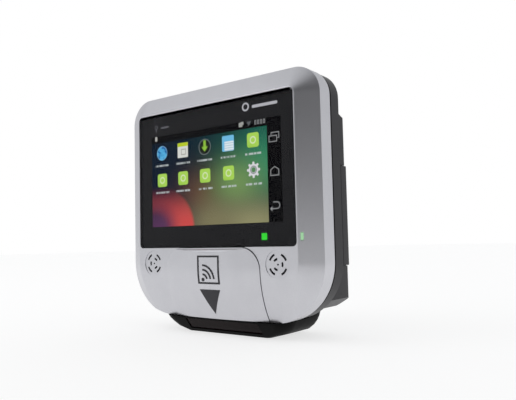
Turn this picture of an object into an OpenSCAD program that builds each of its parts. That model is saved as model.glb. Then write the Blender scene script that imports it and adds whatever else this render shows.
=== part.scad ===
// Wall or pole mounted ticket validator with a touch display, a contactless
// reader, two loudspeakers and a downward-looking code scanner in its foot.
// Lengths are in millimetres. X runs across the front, Y runs from the front to
// the back and Z points up. Inside the modules Y is 0 on the face of the glass and
// Z is 0 on the surface that the foot stands on; every node is then moved back so
// that the origin is the centre of the whole object's footprint.

/* [Housing] */
// Width of the front housing
housing_w = 137; // [130:1:166]
// Height of the front housing without the foot
housing_h = 132; // [124:1:160]
// Radius of the two upper corners
top_r = 15; // [14.5:0.5:20]
// Radius of the two lower corners
bottom_r = 32; // [26:1:38]
// Width of the sloped border round the face
bevel_w = 11.3; // [9:0.1:12]
// Depth of the sloped border
bevel_d = 6.6; // [5:0.1:8]
// Depth of the straight rim behind the border
rim_d = 10; // [8:0.1:13]
// Wall thickness of the housings
wall = 2; // [1.6:0.1:2.4]
// Radius by which the chin below the glass curves back
chin_r = 56; // [50:1:62]
// Height of the chin, from the housing's lower edge to the glass
chin_h = 40; // [38:1:46]
// Flat height between the glass and the start of the chin's curve
chin_flat = 10.5; // [8:0.5:12]

/* [Glass and display] */
// Flat lip between the glass and the sloped border
glass_lip = 0.7; // [0.4:0.1:1.2]
// Thickness of the cover glass
glass_t = 1.1; // [0.7:0.1:1.2]
// Corner radius of the cover glass
glass_r = 2.5; // [1.5:0.5:4]
// Width of the display's picture
picture_w = 95; // [80:1:97]
// Height of the display's picture
picture_h = 54.4; // [48:0.2:56]
// Thickness of the display module
lcd_t = 2.8; // [2:0.1:3]

/* [Reader cover] */
// Width of the reader cover
cover_w = 67; // [60:1:70]
// Radius of the reader cover's upper corners
cover_r = 12; // [8:1:16]
// How far the middle of the reader cover stands proud of the glass
cover_proud = 2.4; // [1.6:0.1:3]
// How far the long edges of the reader cover stand proud
cover_edge = 0.3; // [0.2:0.1:0.8]

/* [Loudspeakers] */
// Distance between the two loudspeakers
speaker_pitch = 89.6; // [88:0.2:96]
// Radius of a loudspeaker
speaker_r = 7.5; // [6:0.1:7.6]

/* [Scanner foot] */
// Height of the foot below the housing
foot_h = 9; // [8:0.5:12]
// Half width of the foot's sole
sole_half_w = 29.5; // [26:0.5:31]
// How far the foot's flanks bulge out beyond the sole
foot_flare = 17; // [8:0.5:20]
// Width of the scanner's window
scan_window_w = 52; // [40:1:54]
// Tilt of the scanner's window from upright, in degrees
scan_tilt = 38; // [34:0.5:42]

/* [Rear cover] */
// Depth of the rear cover's rounded part behind the seam
rear_d = 9.1; // [8:0.1:12]
// Chamfer of the rear cover's back edge
rear_chamfer = 1.2; // [0.8:0.1:1.8]
// Width of the black seam between the two housings
seam_w = 1.4; // [0.8:0.1:1.8]
// Distance from the housing's side to the side of the rear box
box_inset = 8.3; // [7:0.1:11]
// Depth of the rear box behind the rounded part
box_d = 20.1; // [18:0.1:26]
// Height of the service door
door_h = 55; // [52:1:58]
// How far the service door stands proud of the rear box
door_proud = 0.4; // [0.2:0.1:1]
// Thickness of the service door
door_t = 1.2; // [1.1:0.1:1.4]
// How far the door's side flanges reach forward
door_wrap = 6; // [4:0.5:8]

/* [Mounting] */
// Spacing of the four threaded inserts, both ways
mount_pitch = 75; // [75:1:75]
// Bore radius of a threaded insert, for an M4 thread
insert_bore_r = 1.65; // [1.65:0.05:1.7]
// Length of a threaded insert
insert_l = 6.5; // [5:0.5:8]
// Thickness of the steel frame behind the rear box's back wall
plate_t = 3; // [1:0.5:3.5]

/* [Hidden] */
$fn = 96;

gap = 0.3;                // clearance between parts that are fitted by hand
fit = 0.1;                // clearance between parts that sit in each other
cut = 1;                  // how far a cutting tool runs past a face

// Levels along Z
housing_z = foot_h;
housing_top = housing_z + housing_h;
glass_z0 = housing_z + chin_h;
glass_z1 = housing_top - bevel_w - glass_lip;
glass_zc = (glass_z0 + glass_z1) / 2;
chin_z = glass_z0 - chin_flat;

// Levels along Y
mask_t = 0.15;
tape_t = 0.4;
ledge_y = glass_t + mask_t + tape_t;
ledge_back = ledge_y + 1.8;
lcd_y0 = glass_t + mask_t;
lcd_y1 = lcd_y0 + lcd_t;
tray_y0 = max(lcd_y1, ledge_back) + fit;
tray_t = 1.2;
tray_screw_r = 0.6;
board_y0 = 11.5;
board_t = 1.6;
board_y1 = board_y0 + board_t;
rim_back = bevel_d + rim_d;
seam_back = rim_back + seam_w;
rear_back = seam_back + rear_d;
box_back = rear_back + box_d;
door_back = box_back + door_proud;
mark_lift = 0.05;
mark_t = 0.12;
centre_y = (door_back - cover_proud - mark_lift - mark_t) / 2;

// Widths
half_w = housing_w / 2;
glass_w = housing_w - 2 * (bevel_w + glass_lip);
glass_half_w = glass_w / 2;
box_half_w = half_w - box_inset;

// Display module outline round its picture
picture_x = 0.7;
lcd_side = 5.2;
lcd_below = 4.6;
lcd_above = 8;
picture_z0 = glass_zc - picture_h / 2 - 0.3;
lcd_x0 = picture_x - picture_w / 2 - lcd_side;
lcd_x1 = picture_x + picture_w / 2 + lcd_side;
lcd_z0 = picture_z0 - lcd_below;
lcd_z1 = picture_z0 + picture_h + lcd_above;
tray_screw_x = [lcd_x0 - 1.2, lcd_x1 + 1.2];
tray_screw_z = [lcd_z0 - 1.8, lcd_z1 + 0.6];

// Status light
light_size = 3.5;
light_x = glass_half_w - 20.3;
light_zc = glass_z0 + 5.2;
side_light_x = half_w - 9.5;
side_light_zc = light_zc - 0.3;
side_light_half = 0.45;
light_board_t = 1;
light_board_y = board_y0 - light_board_t;

// Loudspeakers
speaker_z = glass_z0 - 9.1;
grille_r = 5.35;
grille_inner_r = 2.8;
grille_slot = 1.15;
dish_r = 7.6;

// Rear box
box_z0 = housing_z + 6;
box_top_front = housing_top - 14.7;
box_top_back = box_top_front - 7.5;
box_edge_r = 5;
box_slope = [7.7, 5];     // width and height of the slope along its lower edges
box_sole_r = 2.8;
box_side_r = 2.4;
box_wall = 2.6;
skin = 0.3;               // how far the rear cover's side lies inside the rim
seal_inset = 0.9;         // how far the seal's edge lies inside the rim
door_zc = (box_z0 + box_top_back) / 2 - 1.85;
door_z0 = door_zc - door_h / 2;
door_z1 = door_zc + door_h / 2;

// Connector bay behind the door
bay_half_w = 49;
bay_z0 = door_z0 + 5;
bay_z1 = door_z1 - 5;
tray_wall = 1.5;
bay_floor_y = 15.5;
bay_floor_t = 1.5;
bay_floor_back = bay_floor_y + bay_floor_t;
port_z0 = door_zc + 1;
plug_y = bay_floor_back + 0.7 - board_y1;
reset_x = 43;
reset_z = door_zc - 15;
reset_travel = 0.5;

// Main board
board_half_w = half_w - 3;
board_z0 = min(glass_z0 - 5, door_zc - 21);
board_z1 = housing_top - 9;
boss_x = half_w - 7;
board_screw_r = 1;
boss_z = [glass_z0 + 12, housing_top - 17];

// Case screws
top_screw = [half_w - 15.5, housing_top - 7];
low_screw = [half_w - 18.5, housing_z + 17];
screw_r = 1.5;
screw_head_r = 2.8;
screw_head_h = 2;
tower_r = 4.6;
insert_boss_r = 4.6;

// Foot
foot_lean = tan(scan_tilt);
sole_y0 = 13;
sole_y1 = 40;
neck_half_w = 30;
neck_y1 = 40;
window_mid = foot_h * 0.545;
window_half_h = foot_h * 0.42;
window_t = 1;
foot_post = [35, 33];
foot_wall = 3.2;
foot_floor = 3;
foot_screw_r = 1.2;

// Contactless antenna behind the reader cover
antenna_y = 4.4;
antenna_t = 1;
antenna_half_w = 28;
antenna_z = [chin_z - 15.5, glass_z0 - 4];
antenna_post = [antenna_half_w - 3, 3];
cover_back = 10.2;

// ---------- helpers ----------

module block(x, y, z)
    translate([x[0], y[0], z[0]])
        cube([x[1] - x[0], y[1] - y[0], z[1] - z[0]]);

module along_y(y0, y1)
    translate([0, y1, 0]) rotate([90, 0, 0]) linear_extrude(y1 - y0) children();

module along_x(x0, x1)
    translate([x0, 0, 0]) rotate([90, 0, 90]) linear_extrude(x1 - x0) children();

module rod_y(x, z, y0, y1, r, r_end = -1)
    translate([x, y0, z]) rotate([-90, 0, 0])
        cylinder(h = y1 - y0, r1 = r, r2 = r_end < 0 ? r : r_end);

module both_sides() {
    children();
    mirror([1, 0, 0]) children();
}

// Rectangle with its own radius for the lower and the upper corners
module rounded(x0, x1, z0, z1, r_low, r_high) {
    middle = (z0 + r_low + z1 - r_high) / 2;
    translate([x0, z0 + r_low]) square([x1 - x0, z1 - r_high - z0 - r_low]);
    translate([x0 + r_low, z0]) square([x1 - x0 - 2 * r_low, middle - z0]);
    translate([x0 + r_high, middle]) square([x1 - x0 - 2 * r_high, z1 - middle]);
    for (x = [x0 + r_low, x1 - r_low]) translate([x, z0 + r_low]) circle(r_low);
    for (x = [x0 + r_high, x1 - r_high]) translate([x, z1 - r_high]) circle(r_high);
}

// The housing's outline, seen from the front and drawn in by inset
module outline(inset)
    rounded(-half_w + inset, half_w - inset, housing_z + inset, housing_top - inset,
        bottom_r - inset, top_r - inset);

// Solid whose outline changes from inset i0 at y0 to inset i1 at y1
module tapered(i0, i1, y0, y1) {
    middle = (housing_z + housing_top) / 2;
    translate([0, 0, housing_z + bottom_r])
        linear_extrude(housing_h - bottom_r - top_r)
            polygon([[-half_w + i0, y0], [half_w - i0, y0], [half_w - i1, y1], [-half_w + i1, y1]]);
    along_x(-half_w + top_r, half_w - top_r)
        polygon([[y0, middle], [y1, middle], [y1, housing_top - i1], [y0, housing_top - i0]]);
    along_x(-half_w + bottom_r, half_w - bottom_r)
        polygon([[y0, middle], [y1, middle], [y1, housing_z + i1], [y0, housing_z + i0]]);
    both_sides() {
        rod_y(half_w - top_r, housing_top - top_r, y0, y1, top_r - i0, top_r - i1);
        rod_y(half_w - bottom_r, housing_z + bottom_r, y0, y1, bottom_r - i0, bottom_r - i1);
    }
}

// What lies in front of the curved chin, for a chin of radius r
module chin_waste(r)
    difference() {
        block([-housing_w, housing_w], [-chin_r, chin_r], [housing_z - cut, chin_z]);
        along_x(-housing_w - cut, housing_w + cut) translate([chin_r, chin_z]) circle(r);
    }

// Bevelled front of the housing, drawn in by inset on every side
module front_form(inset, back)
    difference() {
        union() {
            tapered(bevel_w + inset, inset, inset, bevel_d + inset);
            along_y(bevel_d + inset, back) outline(inset);
        }
        chin_waste(chin_r - inset);
    }

// Outline of the reader cover, grown by grow
module cover_outline(grow, low)
    rounded(-cover_w / 2 - grow, cover_w / 2 + grow, low, glass_z0 - gap + grow, 0.01,
        cover_r + grow);

// Crowned skin of the reader cover, from depth a to depth b below its surface:
// straight above the chin's start and turned about the chin's axis below it
module cover_skin(a, b) {
    drop = cover_proud - cover_edge;
    crown_r = (pow(cover_w / 2, 2) + drop * drop) / (2 * drop);
    module lens()
        intersection() {
            difference() {
                translate([0, crown_r - cover_proud]) circle(crown_r - a, $fn = 360);
                translate([0, crown_r - cover_proud]) circle(crown_r - b, $fn = 360);
            }
            translate([-cover_w, -cover_proud - cut]) square([2 * cover_w, cover_proud + 8]);
        }
    translate([0, 0, chin_z]) linear_extrude(chin_h) lens();
    intersection() {
        translate([0, chin_r, chin_z]) rotate([0, 90, 0]) rotate_extrude(angle = 360, $fn = 180)
            rotate(90) translate([0, -chin_r]) lens();
        block([-cover_w, cover_w], [-chin_r, chin_r], [-chin_r, chin_z]);
    }
}

// One slot of a grille, an arc of the given mean radius and angles
module arc_slot(r, from, sweep, y0, y1)
    translate([0, y1, 0]) rotate([90, 0, 0]) rotate([0, 0, from])
        rotate_extrude(angle = sweep) translate([r - grille_slot / 2, 0])
            square([grille_slot, y1 - y0]);

// Slots of the right grille: four long arcs, three short ones and a hole
module grille(y0, y1) {
    for (a = [45:90:315]) arc_slot(grille_r, a - 23, 46, y0, y1);
    for (a = [0:120:240]) arc_slot(grille_inner_r, a - 24, 48, y0, y1);
    rod_y(0, 0, y0, y1, 0.5);
}

module screw(length, head_r = screw_head_r, r = screw_r)
    difference() {
        union() {
            cylinder(h = screw_head_h, r = head_r);
            translate([0, 0, -length]) cylinder(h = length, r = r);
        }
        translate([0, 0, screw_head_h - 1]) cylinder(h = 1 + cut, r = 1.2, $fn = 6);
    }

// A screw driven forward, its head's underside at y
module screw_y(x, y, z, length)
    translate([x, y, z]) rotate([-90, 0, 0]) screw(length);

// ---------- front ----------

module front_housing()
    color("silver") difference() {
        union() {
            difference() {
                front_form(0, rim_back);
                front_form(wall, rim_back + cut);
            }
            intersection() {
                front_form(0.5, rim_back);
                block([-glass_half_w - 1, glass_half_w + 1], [0, ledge_back],
                    [glass_z0 - 1.5, glass_z1 + 1]);
            }
            both_sides() intersection() {
                front_form(0.5, rim_back);
                union() {
                    for (z = boss_z) rod_y(boss_x, z, 0, board_y0, 3);
                    rod_y(top_screw.x, top_screw.y, 0, rim_back, 3.4);
                    rod_y(low_screw.x, low_screw.y, 0, rim_back, 3.4);
                    rod_y(speaker_pitch / 2, speaker_z, wall - 0.2, 5, speaker_r + 1.5);
                }
            }
        }
        // glass recess and display opening
        along_y(-cut, ledge_y)
            rounded(-glass_half_w - fit, glass_half_w + fit, glass_z0 - fit, glass_z1 + fit,
                glass_r, glass_r);
        block([lcd_x0 - gap, lcd_x1 + gap], [0, ledge_back + cut], [lcd_z0 - gap, lcd_z1 + gap]);
        for (x = tray_screw_x, z = tray_screw_z)
            rod_y(x, z, ledge_back - 1.4, ledge_back + cut, tray_screw_r);
        // reader cover opening and foot opening
        along_y(-cover_proud - cut, cover_back + gap) cover_outline(gap, housing_z - cut);
        block([-neck_half_w - 1.5, neck_half_w + 1.5], [8, rim_back + cut],
            [housing_z - cut, housing_z + 12]);
        // status light windows
        block([light_x - light_size / 2 - fit, light_x + light_size / 2 + fit], [0, 5],
            [light_zc - light_size / 2 - fit, light_zc + light_size / 2 + fit]);
        block([side_light_x - side_light_half - fit, side_light_x + side_light_half + fit],
            [0, 9], [side_light_zc - light_size / 2 - fit, side_light_zc + light_size / 2 + fit]);
        // loudspeaker seats, dishes and grilles
        both_sides() translate([speaker_pitch / 2, 0, speaker_z]) {
            rod_y(0, 0, wall, 5 + cut, speaker_r + fit);
            rod_y(0, 0, -cut, 0.3, dish_r);
            grille(-cut, wall + cut);
        }
        // screw holes
        both_sides() {
            for (z = boss_z) rod_y(boss_x, z, board_y0 - 5.5, board_y0 + cut, board_screw_r);
            rod_y(top_screw.x, top_screw.y, rim_back - 7, rim_back + cut, screw_r);
            rod_y(low_screw.x, low_screw.y, rim_back - 9, rim_back + cut, screw_r);
        }
    }

module reader_cover()
    color("silver") {
        intersection() {
            cover_skin(0, wall);
            along_y(-cover_proud - cut, cover_back) cover_outline(0, housing_z + gap);
            // the upper edge is rounded back to the glass
            along_x(-cover_w, cover_w) {
                translate([-1, 0]) square([12, glass_z0 - gap]);
                translate([-cover_proud - cut, 0]) square([12, glass_z0 - gap - 3]);
                translate([-cover_proud + 3, glass_z0 - gap - 3]) circle(3);
            }
        }
        // flange that holds the cover behind the front wall
        both_sides() {
            block([cover_w / 2 - 2, cover_w / 2 + 1.6], [ledge_back + fit, ledge_back + 1.3],
                [glass_z0 - cover_r - 8, glass_z0 - cover_r]);
            block([cover_w / 2 - 2, cover_w / 2], [wall - 0.8, ledge_back + 1],
                [glass_z0 - cover_r - 8, glass_z0 - cover_r]);
        }
        // posts that the antenna is staked to
        both_sides() for (z = [antenna_z[0] + antenna_post.y, antenna_z[1] - antenna_post.y]) {
            rod_y(antenna_post.x, z, 0.8, antenna_y, 2);
            rod_y(antenna_post.x, z, antenna_y - 1, antenna_y + antenna_t + 0.4, 1);
        }
    }

// Printed contactless mark and arrow: a square frame, three arcs, a dot and a triangle
module reader_marks() {
    mark_half = 7.8;
    mark_top = glass_z0 - 4.4;
    arrow_top = glass_z0 - 23.1;
    arrow_tip = glass_z0 - 36.7;
    dot = [-4, mark_top - 13.2];
    color("black") intersection() {
        cover_skin(-mark_lift - mark_t, -mark_lift);
        along_y(-cover_proud - cut, 8) {
            difference() {
                translate([-mark_half, mark_top - 2 * mark_half])
                    square(2 * mark_half);
                translate([-mark_half + 1, mark_top - 2 * mark_half + 1])
                    square(2 * mark_half - 2);
            }
            translate(dot) circle(1);
            for (r = [3.4, 5.9, 8.4]) intersection() {
                difference() {
                    translate(dot) circle(r);
                    translate(dot) circle(r - 1);
                }
                translate(dot + [0, 0.4]) square(12);
            }
            polygon([[-mark_half + 0.5, arrow_top], [mark_half - 0.5, arrow_top], [0, arrow_tip]]);
        }
    }
}

module cover_glass()
    color("black") along_y(0, glass_t)
        rounded(-glass_half_w, glass_half_w, glass_z0, glass_z1, glass_r, glass_r);

module glass_mask()
    color("black") difference() {
        along_y(glass_t, glass_t + mask_t)
            rounded(-glass_half_w, glass_half_w, glass_z0, glass_z1, glass_r, glass_r);
        block([picture_x - picture_w / 2, picture_x + picture_w / 2], [0, 3],
            [picture_z0, picture_z0 + picture_h]);
        block([light_x - light_size / 2, light_x + light_size / 2], [0, 3],
            [light_zc - light_size / 2, light_zc + light_size / 2]);
    }

module glass_tape()
    color("dimgray") difference() {
        along_y(glass_t + mask_t, ledge_y)
            rounded(-glass_half_w + 0.5, glass_half_w - 0.5, glass_z0 + 0.5, glass_z1 - 0.5, 2, 2);
        block([-glass_half_w + 2.5, glass_half_w - 2.5], [0, 3],
            [glass_z0 + 2.2, glass_z1 - 2.5]);
    }

module lcd_panel()
    color("darkslategray")
        block([lcd_x0, lcd_x1], [lcd_y0, lcd_y1], [lcd_z0, lcd_z1]);

module lcd_tray()
    color("gainsboro") difference() {
        block([lcd_x0 - 2.5, lcd_x1 + 2.5], [tray_y0, tray_y0 + tray_t],
            [lcd_z0 - 3.5, lcd_z1 + 2]);
        // ways through for the cable and the light guide, and lightening holes
        block([5, 25], [0, 9], [lcd_z0 - 0.5, lcd_z0 + 3.5]);
        block([light_x - light_size / 2 - 1, light_x + light_size / 2 + 1], [0, 9],
            [lcd_z0 - 9, light_zc + light_size / 2 + 1]);
        for (x = [lcd_x0 + 12, lcd_x1 - 12], z = [lcd_z0 + 12, lcd_z1 - 12])
            rod_y(x, z, 0, 9, 6);
        for (x = tray_screw_x, z = tray_screw_z) rod_y(x, z, 0, 9, tray_screw_r);
    }

module tray_screws()
    color("darkgray") for (x = tray_screw_x, z = tray_screw_z) {
        rod_y(x, z, tray_y0 + tray_t, tray_y0 + tray_t + 0.8, 1.15);
        rod_y(x, z, ledge_back - 1.2, tray_y0 + tray_t + 0.1, tray_screw_r);
    }

module lcd_cable()
    color("sandybrown") {
        block([6, 24], [lcd_y1, board_y0], [lcd_z0 + 1, lcd_z0 + 1.3]);
        block([6, 24], [board_y0 - 0.3, board_y0], [lcd_z0 + 1.3, lcd_z0 + 13]);
    }

module status_light_guide()
    color("lime") block([light_x - light_size / 2, light_x + light_size / 2],
        [glass_t, light_board_y], [light_zc - light_size / 2, light_zc + light_size / 2]);

module side_light_guide()
    color("lime") intersection() {
        front_form(-0.05, rim_back);
        block([side_light_x - side_light_half, side_light_x + side_light_half],
            [-1, light_board_y],
            [side_light_zc - light_size / 2, side_light_zc + light_size / 2]);
    }

module light_board()
    color("darkgreen") block([light_x - 4, side_light_x + 2.5], [light_board_y, board_y0],
        [light_zc - 3, light_zc + 3]);

// ---------- reader and loudspeakers ----------

module reader_antenna()
    color("darkgreen") difference() {
        block([-antenna_half_w, antenna_half_w], [antenna_y, antenna_y + antenna_t], antenna_z);
        both_sides() for (z = [antenna_z[0] + antenna_post.y, antenna_z[1] - antenna_post.y])
            rod_y(antenna_post.x, z, 0, 9, 1);
    }

module antenna_shield()
    color("dimgray") block([-antenna_half_w + 7, antenna_half_w - 7],
        [antenna_y + antenna_t, antenna_y + antenna_t + 0.4], [antenna_z[0] + 1, antenna_z[1] - 1]);

module speaker()
    color("dimgray") difference() {
        union() {
            rod_y(0, 0, wall + 0.2, wall + 2.2, speaker_r);
            rod_y(0, 0, wall + 2.2, wall + 4.2, speaker_r - 2.5);
        }
        rod_y(0, 0, wall, wall + 0.9, speaker_r - 1, speaker_r - 3);
    }

module speaker_left() translate([-speaker_pitch / 2, 0, speaker_z]) speaker();

module speaker_right() translate([speaker_pitch / 2, 0, speaker_z]) speaker();

module speaker_meshes()
    color("black") both_sides()
        rod_y(speaker_pitch / 2, speaker_z, wall, wall + 0.2, speaker_r - 0.2);

// ---------- electronics ----------

module main_board()
    color("darkgreen") difference() {
        intersection() {
            block([-board_half_w, board_half_w], [board_y0, board_y1], [board_z0, board_z1]);
            along_y(board_y0 - cut, board_y1 + cut) outline(wall + 1);
        }
        both_sides() {
            for (z = boss_z) rod_y(boss_x, z, 0, 20, board_screw_r);
            // the upper edge keeps clear of the case screws' bosses
            rod_y(top_screw.x, top_screw.y, 0, 20, 4.5);
        }
    }

module board_shield()
    color("gainsboro") {
        block([-48, -4], [board_y0 - 2.6, board_y0], [lcd_z0 + 22, lcd_z0 + 58]);
        block([8, 30], [board_y0 - 2.2, board_y0], [lcd_z0 + 24, lcd_z0 + 46]);
    }

module board_screws()
    color("darkgray") both_sides() for (z = boss_z)
        translate([boss_x, board_y1, z]) rotate([-90, 0, 0])
            difference() {
                union() {
                    cylinder(h = 1.6, r = 2.1);
                    translate([0, 0, -6]) cylinder(h = 6, r = board_screw_r);
                }
                translate([0, 0, 0.8]) cylinder(h = 2, r = 0.9, $fn = 6);
            }

// Modular jack that opens downward, with the notch for the plug's catch
module modular_port(x) {
    translate([x, board_y1, port_z0]) difference() {
        block([-8, 8], [0, plug_y + 10.4], [0, 15]);
        block([-5.9, 5.9], [plug_y, plug_y + 6.8], [-cut, 12.5]);
        block([-3.2, 3.2], [plug_y + 6.4, plug_y + 9], [-cut, 9]);
    }
}

module lan_port() color("silver") modular_port(-5);

module serial_port() color("silver") modular_port(14);

module usb_port()
    color("silver") translate([30.5, board_y1, port_z0]) difference() {
        block([-6.8, 6.8], [0, plug_y + 5.3], [0, 14]);
        difference() {
            block([-6.2, 6.2], [plug_y, plug_y + 4.7], [-cut, 12]);
            block([-5.4, 5.4], [plug_y + 2.9, plug_y + 4.8], [0.5, 13]);
        }
    }

module power_jack()
    color("black") translate([-22, board_y1, port_z0]) difference() {
        block([-4.6, 4.6], [0, plug_y + 9.2], [0, 14]);
        translate([0, plug_y + 4.6, 0]) difference() {
            translate([0, 0, -cut]) cylinder(h = 10 + cut, r = 3.1);
            translate([0, 0, 1]) cylinder(h = 10, r = 1);
        }
    }

module card_slot()
    color("gainsboro") translate([-38, board_y1, port_z0 - 9]) difference() {
        block([-7, 7], [0, 1.8], [0, 15.5]);
        block([-5.6, 5.6], [0.4, 1.5], [-cut, 14.5]);
    }

module memory_card()
    color("black") translate([-38, board_y1, port_z0 - 9])
        block([-5.5, 5.5], [0.5, 1.4], [-0.6, 14.4]);

module reset_switch()
    color("dimgray") translate([reset_x, board_y1, reset_z]) difference() {
        block([-3, 3], [0, 3.4], [-3, 3]);
        rod_y(0, 0, 1, 3.4 + cut, 1.65);
    }

module reset_button()
    color("firebrick") translate([reset_x, board_y1, reset_z])
        rod_y(0, 0, 1.1 + reset_travel, 5, 1.6);

// ---------- scanner foot ----------

// Plan of the foot at height z, drawn in by inset
module foot_slice(z, half, y0, y1, r, inset)
    translate([0, 0, z]) linear_extrude(0.01)
        rounded(-half + inset, half - inset, y0 + inset, y1 - inset, r, r, $fn = 32);

// The foot's flanks bulge outward as a quarter of an ellipse, and its front slopes evenly
module foot_form(inset, z0)
    hull() for (k = [0:6]) {
        z = z0 + (box_z0 - fit - z0) * k / 6;
        bulge = sqrt(1 - pow(1 - z / box_z0, 2));
        foot_slice(z, sole_half_w + foot_flare * bulge, sole_y0 - min(z, foot_h) * foot_lean,
            sole_y1 + 5.8 * bulge, 2.5 + 7.5 * bulge, inset);
    }

// Frame of the window: X across, -Y outward through the window, Z up its slope
module window_frame()
    translate([0, sole_y0 - window_mid * foot_lean, window_mid])
        rotate([scan_tilt, 0, 0]) children();

module scanner_housing()
    color("black") difference() {
        union() {
            difference() {
                foot_form(0, 0);
                along_y(-50, rear_back + gap) outline(-fit);
            }
            block([-neck_half_w, neck_half_w], [neck_y1 - 8, neck_y1],
                [box_z0 - cut, housing_z + 12]);
            both_sides()
                block([neck_half_w - 2, neck_half_w], [18, neck_y1], [foot_h - 2, housing_z + 12]);
        }
        difference() {
            foot_form(foot_wall, foot_floor);
            // walls that carry the neck, screw posts and the window's frame
            both_sides() {
                block([neck_half_w - 2, neck_half_w], [18, neck_y1], [2, 30]);
                translate([foot_post.x, foot_post.y, 2]) cylinder(h = 30, r = 2.8);
            }
            window_frame() block([-scan_window_w / 2 - 2, scan_window_w / 2 + 2], [0, 3.4],
                [-window_half_h - 2, window_half_h + 1.6]);
        }
        block([-neck_half_w + 2, neck_half_w - 2], [10, neck_y1 - 2], [box_z0 - 2, 60]);
        both_sides() translate([foot_post.x, foot_post.y, 8]) cylinder(h = 30, r = foot_screw_r);
        window_frame() {
            block([-scan_window_w / 2 - fit, scan_window_w / 2 + fit], [-1, 0.5 + window_t],
                [-window_half_h - fit, window_half_h + fit]);
            block([-scan_window_w / 2 + 1.5, scan_window_w / 2 - 1.5], [-1, 6],
                [-window_half_h + 1, window_half_h - 1]);
        }
    }

module scan_window()
    color("maroon") window_frame()
        block([-scan_window_w / 2, scan_window_w / 2], [0.5, 0.5 + window_t],
            [-window_half_h, window_half_h]);

module scan_engine()
    color("dimgray") window_frame() difference() {
        block([-11, 11], [9, 19], [-6.5, 6.5]);
        rod_y(-3.5, 0, 8, 12, 3.1);
        rod_y(6, 0, 8, 10, 2.1);
    }

module scan_lens()
    color("navy") window_frame() {
        rod_y(-3.5, 0, 7, 11.8, 3);
        rod_y(6, 0, 8, 9.8, 2);
    }

module scan_bracket()
    color("gainsboro") window_frame() difference() {
        block([-neck_half_w + 2, neck_half_w - 2], [19, 20], [-5, 5]);
        for (x = [-19, 19]) rod_y(x, 0, 18, 22, 1.6);
    }

// Flat cable from the back of the bracket to the back of the main board
module scan_cable() {
    cable_t = 0.3;
    bend_y = sole_y0 - window_mid * foot_lean + 20 * cos(scan_tilt) - 6 * sin(scan_tilt);
    bend_z = window_mid + 20 * sin(scan_tilt) + 6 * cos(scan_tilt);
    color("sandybrown") {
        window_frame() block([-5, 5], [20, 20 + cable_t], [-4, 6.1]);
        along_x(-5, 5) polygon([[bend_y, bend_z], [bend_y + cable_t, bend_z],
            [board_y1 + cable_t, board_z0 - 2], [board_y1 + cable_t, board_z0 + 8],
            [board_y1, board_z0 + 8], [board_y1, board_z0 - 2.2]]);
    }
}

module foot_screws()
    color("darkgray") both_sides()
        translate([foot_post.x, foot_post.y, box_z0 + box_wall])
            screw(8, head_r = 2.4, r = foot_screw_r);

// ---------- rear ----------

module housing_seal()
    color("black") difference() {
        along_y(rim_back, seam_back) outline(seal_inset);
        along_y(rim_back - cut, seam_back + cut) outline(skin + wall);
        block([-neck_half_w - 1.5, neck_half_w + 1.5], [0, 60], [housing_z - cut, housing_z + 6]);
    }

// Rear box's outline from behind, with sloped lower and rounded upper corners
module box_outline(inset) {
    side = box_half_w - inset;
    low = box_z0 + inset;
    high = box_top_front - inset;
    r = box_edge_r - inset;
    polygon([[-side + box_slope.x, low], [side - box_slope.x, low], [side, low + box_slope.y],
        [side, high - r], [side - r, high], [-side + r, high], [-side, high - r],
        [-side, low + box_slope.y]]);
    for (x = [-side + r, side - r]) translate([x, high - r]) circle(r);
}

// Rear box drawn in by inset, from the front of the rear cover to its back
module box_form(inset) {
    low = box_z0 + inset;
    back = box_back - inset;
    sole = box_sole_r - inset;
    intersection() {
        along_x(-box_half_w + inset, box_half_w - inset) {
            polygon([[rim_back + 4, low], [back - sole, low], [back, low + sole],
                [back, box_top_back - inset], [rear_back, box_top_front - inset],
                [rim_back + 4, box_top_front - inset]]);
            translate([back - sole, low + sole]) circle(sole);
        }
        along_y(rim_back, box_back + cut) box_outline(inset);
        linear_extrude(housing_top + 20)
            rounded(-box_half_w + inset, box_half_w - inset, rim_back - 10, back,
                box_side_r, box_side_r);
    }
}

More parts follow.
